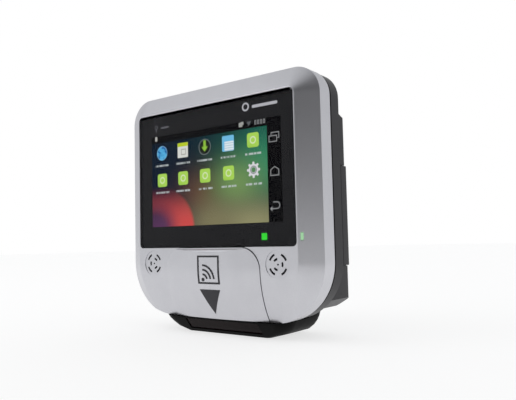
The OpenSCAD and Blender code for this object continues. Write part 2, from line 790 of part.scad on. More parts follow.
module rear_cover()
    color("dimgray") difference() {
        union() {
            difference() {
                union() {
                    along_y(seam_back, rear_back - rear_chamfer) outline(skin);
                    tapered(skin, skin + rear_chamfer, rear_back - rear_chamfer, rear_back);
                    box_form(0);
                }
                along_y(seam_back - cut, rear_back - wall) outline(skin + wall);
                box_form(box_wall);
            }
            both_sides() {
                // insert bosses
                for (z = [-1, 1]) rod_y(mount_pitch / 2, door_zc + z * mount_pitch / 2,
                    box_back - insert_l - 2, box_back, insert_boss_r);
                // screw towers
                rod_y(top_screw.x, top_screw.y, rim_back, rear_back - 0.5, 4);
                rod_y(low_screw.x, low_screw.y, rim_back, box_back - 0.5, tower_r);
            }
        }
        // band that the door covers
        difference() {
            block([-housing_w, housing_w], [box_back - door_wrap - gap, box_back + 10],
                [door_z0 - gap, door_z1 + gap]);
            block([-box_half_w + door_t + gap, box_half_w - door_t - gap],
                [0, door_back - door_t - 0.2], [door_z0 - cut, door_z1 + cut]);
        }
        block([-bay_half_w, bay_half_w], [box_back - 5, box_back + cut], [bay_z0, bay_z1]);
        both_sides() {
            for (z = [-1, 1]) rod_y(mount_pitch / 2, door_zc + z * mount_pitch / 2,
                box_back - insert_l, box_back + cut, 2.9);
            rod_y(top_screw.x, top_screw.y, rim_back - cut, rear_back + cut, screw_r + 0.15);
            rod_y(top_screw.x, top_screw.y, rear_back - 2.2, rear_back + cut, screw_head_r + 0.3);
            rod_y(low_screw.x, low_screw.y, rim_back - cut, box_back + cut, screw_r + 0.15);
            rod_y(low_screw.x, low_screw.y, seam_back + 3, box_back + cut, screw_head_r + 0.3);
            translate([foot_post.x, foot_post.y, box_z0 - cut])
                cylinder(h = box_wall + 2 * cut, r = foot_screw_r + 0.1);
        }
        // way through for the foot's neck
        block([-neck_half_w - 0.5, neck_half_w + 0.5], [rim_back, neck_y1 + 0.5],
            [housing_z - cut, box_z0 + 5]);
    }

// Tub behind the door, with windows in its floor for the ports
module connector_tray() {
    top = box_back - box_wall;
    color("dimgray") difference() {
        union() {
            block([-bay_half_w - tray_wall, bay_half_w + tray_wall], [bay_floor_y, top],
                [bay_z0 - tray_wall, bay_z1 + tray_wall]);
            block([-bay_half_w - 3, bay_half_w + 3], [top - 1.4, top], [bay_z0 - 3, bay_z1 + 3]);
        }
        block([-bay_half_w, bay_half_w], [bay_floor_back, top + cut], [bay_z0, bay_z1]);
        // ports, card and reset switch
        block([-27.5, 38.5], [0, bay_floor_back + cut], [port_z0 - 1, port_z0 + 16]);
        block([-46, -30], [0, bay_floor_back + cut], [bay_z0 + 1, port_z0 - 7]);
        rod_y(reset_x, reset_z, 0, bay_floor_back + cut, 4.6);
    }
}

module mount_inserts()
    color("goldenrod") both_sides() for (z = [-1, 1]) difference() {
        rod_y(mount_pitch / 2, door_zc + z * mount_pitch / 2, box_back - insert_l, box_back, 2.85);
        rod_y(mount_pitch / 2, door_zc + z * mount_pitch / 2, box_back - insert_l - cut,
            box_back + cut, insert_bore_r);
    }

// Steel frame round the bay that spreads the bracket's load
module mount_plate() {
    back = box_back - box_wall;
    plate_half_w = box_half_w - box_wall - box_side_r - fit;
    plate_z0 = box_z0 + box_slope.y + 4;
    color("gainsboro") difference() {
        block([-plate_half_w, plate_half_w], [back - plate_t, back],
            [plate_z0, door_zc + mount_pitch / 2 + 5.5]);
        block([-bay_half_w - 3.3, bay_half_w + 3.3], [back - plate_t - cut, back + cut],
            [bay_z0 - 3.3, bay_z1 + 3.3]);
        both_sides() {
            for (z = [-1, 1]) rod_y(mount_pitch / 2, door_zc + z * mount_pitch / 2,
                back - plate_t - cut, back + cut, insert_boss_r + fit);
            rod_y(low_screw.x, low_screw.y, back - plate_t - cut, back + cut, tower_r + fit);
        }
    }
}

module case_screws()
    color("darkgray") both_sides() {
        screw_y(top_screw.x, rear_back - 2.2, top_screw.y, 12);
        screw_y(low_screw.x, seam_back + 3, low_screw.y, 10);
    }

module service_door() {
    hook_x = 30;
    color("dimgray") difference() {
        union() {
            difference() {
                block([-box_half_w, box_half_w], [box_back - door_wrap, door_back],
                    [door_z0, door_z1]);
                block([-box_half_w + door_t, box_half_w - door_t], [0, door_back - door_t],
                    [door_z0 - cut, door_z1 + cut]);
            }
            // hooks that hold the door in the bay's upper and lower edges
            both_sides() for (z = [bay_z0 + 0.4, bay_z1 - 1.9])
                block([hook_x - 4, hook_x + 4], [box_back - 4.5, door_back - door_t], [z, z + 1.5]);
        }
        // cable notch and finger groove
        block([-9, 9], [0, door_back + cut], [door_z0 - cut, bay_z0 + 7]);
        block([-12, 12], [door_back - 0.6, door_back + cut], [door_z1 - 6, door_z1 - 3]);
    }
}

// ---------- assembly ----------

translate([0, -centre_y, 0]) {
    front_housing();
    reader_cover();
    reader_marks();
    cover_glass();
    glass_mask();
    glass_tape();
    lcd_panel();
    lcd_tray();
    lcd_cable();
    tray_screws();
    status_light_guide();
    side_light_guide();
    light_board();
    reader_antenna();
    antenna_shield();
    speaker_left();
    speaker_right();
    speaker_meshes();
    main_board();
    board_shield();
    board_screws();
    lan_port();
    serial_port();
    usb_port();
    power_jack();
    card_slot();
    reset_switch();
    scanner_housing();
    scan_window();
    scan_engine();
    scan_lens();
    scan_bracket();
    scan_cable();
    foot_screws();
    housing_seal();
    rear_cover();
    connector_tray();
    mount_inserts();
    mount_plate();
    case_screws();
    service_door();
    reset_button();
    memory_card();
}
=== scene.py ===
"""Ticket validator: softened edges, finishes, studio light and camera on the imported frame.

X runs across the front, the front faces -Y and Z points up from the surface that the
foot stands on. Meshes are in metres, and a name that ends in _mm holds millimetres.
Depths named depth_mm are measured back from the face of the cover glass.
"""

import logging
import math
from dataclasses import dataclass
from enum import Enum
from typing import Any, Callable, ClassVar, Union

import bmesh
import bpy
from mathutils import Matrix, Vector
from mathutils.bvhtree import BVHTree


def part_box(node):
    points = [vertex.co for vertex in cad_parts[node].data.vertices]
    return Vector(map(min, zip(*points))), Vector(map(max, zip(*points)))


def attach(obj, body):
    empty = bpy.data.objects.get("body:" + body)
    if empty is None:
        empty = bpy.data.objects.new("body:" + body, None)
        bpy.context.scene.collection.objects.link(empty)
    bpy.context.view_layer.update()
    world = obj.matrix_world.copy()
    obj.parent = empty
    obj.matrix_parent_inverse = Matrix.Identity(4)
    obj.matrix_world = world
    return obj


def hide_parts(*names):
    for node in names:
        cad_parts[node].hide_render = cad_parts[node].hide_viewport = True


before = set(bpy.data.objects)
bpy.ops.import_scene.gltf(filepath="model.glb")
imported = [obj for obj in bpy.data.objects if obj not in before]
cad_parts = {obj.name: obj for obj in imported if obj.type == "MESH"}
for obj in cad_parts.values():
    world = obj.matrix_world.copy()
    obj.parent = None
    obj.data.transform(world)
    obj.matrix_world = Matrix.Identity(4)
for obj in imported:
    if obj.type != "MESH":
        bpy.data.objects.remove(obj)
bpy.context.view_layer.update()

LOG = logging.getLogger("validator")
MM = 0.001
GLASS_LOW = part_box("cover_glass")[0]
Colour = tuple[float, float, float, float]
WHITE: Colour = (1.0, 1.0, 1.0, 1.0)


def shade(red: float, green: float, blue: float) -> Colour:
    """Turns a display colour of 0 to 255 into the linear colour that shaders take.

    Args:
        red: Red part.
        green: Green part.
        blue: Blue part.

    Returns:
        The linear colour with full alpha.
    """
    parts = [part / 255 for part in (red, green, blue)]
    linear = [p / 12.92 if p <= 0.04045 else ((p + 0.055) / 1.055) ** 2.4 for p in parts]
    return (linear[0], linear[1], linear[2], 1.0)


class Body(Enum):
    """Bodies of the model that softened pieces ride on."""

    TERMINAL = "terminal"
    DOOR = "door"


# ---------- shader building ----------


class Signal:
    """A number that varies over a surface, carried by a node's output socket."""

    def __init__(self, net: "Net", socket: bpy.types.NodeSocket) -> None:
        """Wraps a socket of a net."""
        self.net = net
        self.socket = socket

    def __add__(self, other: "Number") -> "Signal":
        """Adds."""
        return self.net.maths("ADD", self, other)

    __radd__ = __add__

    def __sub__(self, other: "Number") -> "Signal":
        """Subtracts."""
        return self.net.maths("SUBTRACT", self, other)

    def __rsub__(self, other: "Number") -> "Signal":
        """Subtracts from a number."""
        return self.net.maths("SUBTRACT", other, self)

    def __mul__(self, other: "Number") -> "Signal":
        """Multiplies."""
        return self.net.maths("MULTIPLY", self, other)

    __rmul__ = __mul__

    def __truediv__(self, other: "Number") -> "Signal":
        """Divides."""
        return self.net.maths("DIVIDE", self, other)

    def __mod__(self, other: "Number") -> "Signal":
        """Wraps into 0 to other."""
        return self.net.maths("FLOORED_MODULO", self, other)

    def __pow__(self, other: "Number") -> "Signal":
        """Raises to a power."""
        return self.net.maths("POWER", self, other)

    def __gt__(self, other: "Number") -> "Signal":
        """Is 1 where this is greater and 0 elsewhere."""
        return self.net.maths("GREATER_THAN", self, other)

    def __lt__(self, other: "Number") -> "Signal":
        """Is 1 where this is less and 0 elsewhere."""
        return self.net.maths("LESS_THAN", self, other)

    def __abs__(self) -> "Signal":
        """Drops the sign."""
        return self.net.maths("ABSOLUTE", self)

    def __neg__(self) -> "Signal":
        """Turns the sign."""
        return self.net.maths("MULTIPLY", self, -1.0)

    def least(self, other: "Number") -> "Signal":
        """Takes the lesser of the two."""
        return self.net.maths("MINIMUM", self, other)

    def most(self, other: "Number") -> "Signal":
        """Takes the greater of the two."""
        return self.net.maths("MAXIMUM", self, other)

    def span(self, other: "Signal") -> "Signal":
        """Gives the length of a line that reaches this far one way and other the other way."""
        return (self * self + other * other) ** 0.5

    def held(self) -> "Signal":
        """Keeps the value between 0 and 1."""
        return self.net.maths("ADD", self, 0.0, clamp=True)


Number = Union[Signal, float, int]


class Net:
    """The node tree of a material or of the world."""

    def __init__(self, tree: bpy.types.NodeTree) -> None:
        """Empties the tree and keeps it."""
        self.tree = tree
        self.tree.nodes.clear()
        self._place: tuple[Signal, Signal, Signal] | None = None
        self._place_vector: bpy.types.NodeSocket | None = None

    def add(
        self,
        kind: str,
        settings: dict[str, Any] | None = None,
        inputs: dict[Union[str, int], Any] | None = None,
    ) -> bpy.types.Node:
        """Adds a node, sets its settings and then its sockets.

        Args:
            kind: The node's type.
            settings: Its settings by name.
            inputs: Values, signals or sockets by the name or number of the node's own socket.

        Returns:
            The node.
        """
        node = self.tree.nodes.new(kind)
        for name, value in (settings or {}).items():
            setattr(node, name, value)
        for name, value in (inputs or {}).items():
            source = value.socket if isinstance(value, Signal) else value
            if isinstance(source, bpy.types.NodeSocket):
                self.tree.links.new(source, node.inputs[name])
            else:
                node.inputs[name].default_value = source
        return node

    def maths(self, operation: str, *values: Number, clamp: bool = False) -> Signal:
        """Adds a Math node.

        Args:
            operation: The node's operation.
            values: What goes into it, in order.
            clamp: Keeps the result between 0 and 1.

        Returns:
            Its result.
        """
        node = self.add(
            "ShaderNodeMath",
            {"operation": operation, "use_clamp": clamp},
            dict(enumerate(values)),
        )
        return Signal(self, node.outputs[0])

    def place_vector(self) -> bpy.types.NodeSocket:
        """Gives the Object coordinates in millimetres, as a vector."""
        if self._place_vector is None:
            where = self.add("ShaderNodeTexCoord")
            scaled = self.add(
                "ShaderNodeVectorMath",
                {"operation": "SCALE"},
                {0: where.outputs["Object"], "Scale": 1000.0},
            )
            self._place_vector = scaled.outputs[0]
        return self._place_vector

    def place(self) -> tuple[Signal, Signal, Signal]:
        """Gives the Object coordinates in millimetres, one signal for each axis."""
        if self._place is None:
            split = self.add("ShaderNodeSeparateXYZ", None, {0: self.place_vector()})
            x, y, z = (Signal(self, output) for output in split.outputs)
            self._place = (x, y, z)
        return self._place

    def stretched(self, factors: tuple[float, float, float]) -> bpy.types.NodeSocket:
        """Gives the coordinates times a factor for each axis."""
        node = self.add(
            "ShaderNodeVectorMath",
            {"operation": "MULTIPLY"},
            {0: self.place_vector(), 1: factors},
        )
        return node.outputs[0]

    def noise(
        self,
        size_mm: float,
        detail: float = 2.0,
        stretch: tuple[float, float, float] = (1.0, 1.0, 1.0),
    ) -> Signal:
        """Adds soft noise.

        Args:
            size_mm: Size of its blots.
            detail: How many finer layers it has.
            stretch: Factor on each axis; a small one draws the blots out along it.

        Returns:
            Noise about 0.5.
        """
        node = self.add(
            "ShaderNodeTexNoise",
            None,
            {"Vector": self.stretched(stretch), "Scale": 1 / size_mm, "Detail": detail},
        )
        return Signal(self, node.outputs["Fac"])

    def uneven(self, level: float, size_mm: float, swing: float) -> Signal:
        """Varies a level by soft noise."""
        return level + (self.noise(size_mm) - 0.5) * swing

    def cells(self, size_mm: float) -> Signal:
        """Adds cells and gives the distance to their centres."""
        node = self.add(
            "ShaderNodeTexVoronoi",
            None,
            {"Vector": self.place_vector(), "Scale": 1 / size_mm},
        )
        return Signal(self, node.outputs["Distance"])

    def smooth(self, value: Signal, low: float, high: float) -> Signal:
        """Rises smoothly from 0 at low to 1 at high."""
        node = self.add(
            "ShaderNodeMapRange",
            {"interpolation_type": "SMOOTHSTEP"},
            {"Value": value, "From Min": low, "From Max": high},
        )
        return Signal(self, node.outputs["Result"])

    def mixed(self, first: Any, second: Any, factor: Number) -> bpy.types.NodeSocket:
        """Mixes two colours.

        Args:
            first: Colour or colour socket shown where factor is 0.
            second: Colour or colour socket shown where factor is 1.
            factor: The share of the second.

        Returns:
            The mixed colour.
        """
        node = self.add(
            "ShaderNodeMix", {"data_type": "RGBA"}, {0: factor, 6: first, 7: second}
        )
        return node.outputs[2]

    def layered(self, picture: Any, *layers: tuple[Colour, Signal]) -> Any:
        """Lays colours over a picture in turn, each through its mask."""
        for colour, mask in layers:
            picture = self.mixed(picture, colour, mask)
        return picture

    def surface(
        self,
        colour: Any,
        roughness: Number,
        height_mm: Signal | None = None,
        more: dict[str, Any] | None = None,
    ) -> None:
        """Ends the tree in a Principled shader.

        Args:
            colour: Colour or colour socket.
            roughness: How rough the surface is.
            height_mm: Its relief in millimetres, if it has one.
            more: Further sockets by name.
        """
        values = {"Base Color": colour, "Roughness": roughness, **(more or {})}
        if height_mm is not None:
            relief = {"Height": height_mm, "Distance": MM, "Strength": 1.0}
            values["Normal"] = self.add("ShaderNodeBump", None, relief).outputs["Normal"]
        shader = self.add("ShaderNodeBsdfPrincipled", None, values)
        self.add("ShaderNodeOutputMaterial", None, {"Surface": shader.outputs[0]})


class Drawing:
    """Draws plain shapes as masks over two coordinates in millimetres."""

    def __init__(self, net: Net, across: Signal, up: Signal, edge_mm: float = 0.12) -> None:
        """Keeps the coordinates and how soft an edge is."""
        self.net = net
        self.across = across
        self.up = up
        self.edge_mm = edge_mm

    def filled(self, distance: Signal) -> Signal:
        """Fills where a distance is below 0, with a soft edge."""
        return (0.5 - distance / self.edge_mm).held()

    def from_centre(self, x: float, z: float) -> Signal:
        """Gives the distance from a point."""
        return (self.across - x).span(self.up - z)

    def disc(self, x: float, z: float, radius: float) -> Signal:
        """Fills a disc."""
        return self.filled(self.from_centre(x, z) - radius)

    def ring(self, x: float, z: float, radius: float, width: float) -> Signal:
        """Draws a circle of a line width."""
        return self.filled(abs(self.from_centre(x, z) - radius) - width / 2)

    def _reach(self, x: float, z: float, half_x: float, half_z: float, r: float) -> Signal:
        """Gives the distance from the outline of a rounded rectangle."""
        out_x = abs(self.across - x) - (half_x - r)
        out_z = abs(self.up - z) - (half_z - r)
        if r == 0:
            return out_x.most(out_z)
        corner = out_x.most(0.0).span(out_z.most(0.0))
        return corner + out_x.most(out_z).least(0.0) - r

    def tile(self, x: float, z: float, half_x: float, half_z: float, r: float = 0) -> Signal:
        """Fills a rectangle with rounded corners."""
        return self.filled(self._reach(x, z, half_x, half_z, r))

    def border(self, x: float, z: float, half_x: float, half_z: float, width: float) -> Signal:
        """Draws the outline of a rectangle."""
        return self.filled(abs(self._reach(x, z, half_x, half_z, 0)) - width / 2)

    def wedge(self, x: float, z: float, half_x: float, height: float) -> Signal:
        """Fills a triangle with its tip at x, z and its base at z + height."""
        rise = (self.up - z) / height
        inside = abs(self.across - x) - rise * half_x
        return self.filled(inside.most((rise - 1) * abs(height)).most(-rise * abs(height)))


# ---------- finishes ----------


@dataclass(frozen=True)
class Finish:
    """A finish of one or more pieces."""

    name: str

    def draw(self, net: Net) -> None:
        """Draws the finish's nodes."""
        raise NotImplementedError

    def material(self) -> bpy.types.Material:
        """Returns the finish's material, made once."""
        known = bpy.data.materials.get(self.name)
        if known is None:
            known = bpy.data.materials.new(self.name)
            known.use_nodes = True
            self.draw(Net(known.node_tree))
        return known


@dataclass(frozen=True)
class SatinPaint(Finish):
    """Silver paint with fine metal flake under a thin satin lacquer."""

    colour: Colour = shade(212, 212, 216)
    dark_flake: Colour = shade(192, 192, 198)
    metal: float = 0.92
    roughness: float = 0.36
    flake_mm: float = 0.16
    peel_mm: float = 1.4

    def draw(self, net: Net) -> None:
        """Draws flake in the colour, uneven lacquer in the roughness and its skin as bump."""
        flake = net.smooth(net.cells(self.flake_mm), 0.15, 0.75)
        cloud = net.noise(9.0, 3.0)
        handled = net.smooth(net.noise(26.0, 2.0, (1.0, 1.0, 0.6)), 0.5, 0.75)
        net.surface(
            net.mixed(self.colour, self.dark_flake, (flake * 0.5 + cloud * 0.3).held()),
            self.roughness + (cloud - 0.5) * 0.05 + handled * 0.03,
            net.noise(self.peel_mm) * 0.0022 + net.noise(self.flake_mm) * 0.0006,
            more={"Metallic": self.metal},
        )


@dataclass(frozen=True)
class MouldedPlastic(Finish):
    """Moulded plastic or rubber with a spark-eroded grain."""

    colour: Colour = shade(30, 29, 33)
    worn: Colour = shade(42, 41, 46)
    roughness: float = 0.38
    grain_mm: float = 0.35
    grain_depth_mm: float = 0.01
    gloss: float = 0.28

    def draw(self, net: Net) -> None:
        """Draws the grain as bump, its worn tips in the colour and dust in the roughness."""
        grain = net.noise(self.grain_mm, 3.0)
        pits = net.cells(self.grain_mm * 1.7)
        tips = net.smooth(grain, 0.5, 0.72)
        dust = net.smooth(net.noise(14.0, 4.0), 0.45, 0.8)
        net.surface(
            net.mixed(self.colour, self.worn, (tips * 0.45 + dust * 0.35).held()),
            self.roughness + dust * 0.07 + (grain - 0.5) * 0.08,
            (grain + pits * 0.5) * self.grain_depth_mm,
            more={"Specular IOR Level": self.gloss},
        )


@dataclass(frozen=True)
class Ink(Finish):
    """Screen-printed ink with a faint mesh grain."""

    colour: Colour = shade(30, 29, 36)

    def draw(self, net: Net) -> None:
        """Draws the grain of the printing screen in the colour and the height."""
        x, _, z = net.place()
        weave = abs(x % 0.3 - 0.15) + abs(z % 0.3 - 0.15)
        net.surface(
            net.mixed(self.colour, shade(44, 43, 50), net.noise(0.8, 3.0) * 0.6),
            net.uneven(0.5, 2.5, 0.1),
            weave * 0.01,
        )


@dataclass(frozen=True)
class Pane(Finish):
    """A thin clear or tinted pane, which lets what lies behind it show through."""

    tint: Colour = (0.0, 0.0, 0.0, 1.0)
    cover: float = 0.14
    roughness: float = 0.015
    ior: float = 1.5
    smears: float = 0.02

    def draw(self, net: Net) -> None:
        """Draws a see-through pane whose only unevenness is the faint smear of wiping."""
        smear = net.smooth(net.noise(16.0, 4.0, (1.0, 1.0, 2.6)), 0.52, 0.8)
        net.surface(
            self.tint,
            self.roughness + smear * self.smears,
            more={"IOR": self.ior, "Alpha": self.cover},
        )


@dataclass(frozen=True)
class BrushedMetal(Finish):
    """Sheet, screw or turned metal with drawn-out scratches."""

    colour: Colour = shade(196, 198, 202)
    streak: Colour = shade(160, 162, 168)
    roughness: float = 0.34
    along: tuple[float, float, float] = (0.04, 1.0, 1.0)
    thread_mm: float = 0.0

    def draw(self, net: Net) -> None:
        """Draws the scratches, and the turns of a thread where there is one."""
        scratch = net.noise(0.16, 3.0, self.along)
        stain = net.noise(5.0, 3.0)
        height = scratch * 0.004
        if self.thread_mm:
            _, y, _ = net.place()
            height = height + abs(y % self.thread_mm - self.thread_mm / 2) * 0.5
        net.surface(
            net.mixed(self.colour, self.streak, scratch * 0.6 + stain * 0.3),
            self.roughness + (stain - 0.5) * 0.12,
            height,
            more={"Metallic": 1.0},
        )


@dataclass(frozen=True)
class CircuitBoard(Finish):
    """Solder mask with traces, through holes and a printed outline."""

    mask: Colour = shade(18, 74, 44)
    trace: Colour = shade(36, 112, 66)
    gold: Colour = shade(214, 176, 96)

    def draw(self, net: Net) -> None:
        """Draws bundles of traces both ways and plated holes between them."""
        x, _, z = net.place()
        pattern = Drawing(net, x, z)
        runs_up = pattern.filled(abs(x % 1.1 - 0.55) - 0.14) * (net.noise(7.0) > 0.52)
        runs_across = pattern.filled(abs(z % 1.1 - 0.55) - 0.14) * (net.noise(8.5, 0.0) < 0.46)
        hole = (x % 4.4 - 2.2).span(z % 3.3 - 1.65)
        plated = pattern.filled(hole - 0.42) * (net.noise(3.1, 0.0) > 0.5)
        colour = net.mixed(self.mask, self.trace, runs_up.most(runs_across))
        net.surface(
            net.mixed(colour, self.gold, plated),
            net.uneven(0.32, 4.0, 0.1),
            runs_up.most(runs_across) * 0.03 + plated * 0.02,
            more={"Metallic": plated * 0.9},
        )


@dataclass(frozen=True)
class AntennaBoard(Finish):
    """Thin board with a copper coil etched on it."""

    centre_z_mm: float = 34.0
    half_mm: tuple[float, float] = (27.0, 10.0)
    pitch_mm: float = 1.1
    turns: int = 6

    def draw(self, net: Net) -> None:
        """Draws the coil as evenly spaced rectangles."""
        x, _, z = net.place()
        pattern = Drawing(net, x, z)
        inward = -(
            (abs(x) - self.half_mm[0]).most(abs(z - self.centre_z_mm) - self.half_mm[1])
        )
        line = pattern.filled(abs(inward % self.pitch_mm - self.pitch_mm / 2) - 0.3)
        coil = line * (inward > 0.0) * (inward < self.pitch_mm * self.turns)
        net.surface(
            net.mixed(shade(20, 70, 46), shade(196, 122, 74), coil),
            net.uneven(0.36, 3.0, 0.1),
            coil * 0.03,
            more={"Metallic": coil * 0.9},
        )


@dataclass(frozen=True)
class Film(Finish):
    """Amber film cable with copper tracks under it."""

    def draw(self, net: Net) -> None:
        """Draws the tracks and the film's uneven gloss."""
        x, _, _ = net.place()
        track = Drawing(net, x, x).filled(abs(x % 0.8 - 0.4) - 0.2)
        net.surface(
            net.mixed(shade(150, 84, 22), shade(206, 140, 62), track),
            net.uneven(0.28, 2.0, 0.15),
            track * 0.02,
        )


@dataclass(frozen=True)
class ScoredSheet(Finish):
    """Ferrite sheet scored into small tiles."""

    tile_mm: float = 2.0

    def draw(self, net: Net) -> None:
        """Draws the scores."""
        x, _, z = net.place()
        near = abs(x % self.tile_mm - self.tile_mm / 2).most(
            abs(z % self.tile_mm - self.tile_mm / 2)
        )
        score = net.smooth(near, self.tile_mm * 0.42, self.tile_mm * 0.49)
        net.surface(
            net.mixed(shade(60, 58, 58), shade(28, 27, 28), score),
            net.uneven(0.55, 1.2, 0.2),
            score * -0.05,
        )


@dataclass(frozen=True)
class WovenMesh(Finish):
    """Black woven mesh behind the grilles."""

    pitch_mm: float = 0.32

    def draw(self, net: Net) -> None:
        """Draws the threads crossing over and under."""
        x, _, z = net.place()
        half = self.pitch_mm / 2
        thread_x, thread_z = abs(x % self.pitch_mm - half), abs(z % self.pitch_mm - half)
        hole = net.smooth(thread_x.least(thread_z), half * 0.45, half * 0.7)
        net.surface(
            net.mixed(shade(34, 34, 38), shade(6, 6, 8), hole),
            net.uneven(0.6, 1.0, 0.1),
            hole * -0.06,
        )


@dataclass(frozen=True)
class LitGuide(Finish):
    """Frosted light guide lit from behind."""

    glow: Colour = shade(26, 236, 30)
    body: Colour = shade(20, 90, 24)
    strength: float = 0.95
    frost: float = 0.3

    def draw(self, net: Net) -> None:
        """Draws the glow with the faint mottling of a frosted face."""
        mottle = net.noise(0.7, 2.0)
        pale = (*(min(1.0, part + 0.06) for part in self.glow[:3]), 1.0)
        net.surface(
            self.body,
            self.frost + (mottle - 0.5) * 0.1,
            net.noise(0.3) * 0.01,
            more={
                "Emission Color": net.mixed(self.glow, pale, (mottle - 0.35) * 0.6),
                "Emission Strength": self.strength,
            },
        )


@dataclass(frozen=True)
class MaskPrint(Finish):
    """Black print behind the cover glass with a few small plain marks, which glow as painted
    light.
    """

    black: Colour = shade(38, 38, 42)
    grey: Colour = shade(112, 112, 120)
    pale: Colour = shade(214, 214, 222)
    faint: Colour = shade(60, 60, 66)
    # Strength of the painted light on the marks, which are print and no lamp.
    glow: float = 0.85

    def draw(self, net: Net) -> None:
        """Draws two faint bars and a mark at the upper left, and a ring and a bar at the right,
        glowing as painted light that stands in for the light reaching them through the glass.
        """
        x, _, z = net.place()
        up = z - GLASS_LOW.z / MM
        pen = Drawing(net, x, up)
        bars = pen.tile(-43.8, 77.2, 0.45, 1.7).most(pen.tile(-39.1, 77.2, 0.45, 1.7))
        mark = pen.ring(-42.7, 72.6, 1.1, 0.5).most(pen.tile(-42.7, 70.6, 0.3, 1.0))
        mark = mark.most(pen.tile(-35.4, 71.8, 3.2, 0.55, 0.3))
        plain = pen.ring(25.7, 74.6, 1.9, 0.9).most(pen.tile(38.2, 74.1, 8.2, 0.8, 0.7))
        # The marks' emission is painted light: it stands in for the light that falls on the print
        # through the glass.
        marks = net.layered(
            shade(0, 0, 0), (self.faint, bars), (self.grey, mark), (self.pale, plain)
        )
        net.surface(
            net.mixed(self.black, shade(34, 34, 38), net.noise(3.0, 3.0)),
            net.uneven(0.5, 1.0, 0.1),
            more={
                "Specular IOR Level": 0.1,
                "Emission Color": marks,
                "Emission Strength": self.glow,
            },
        )


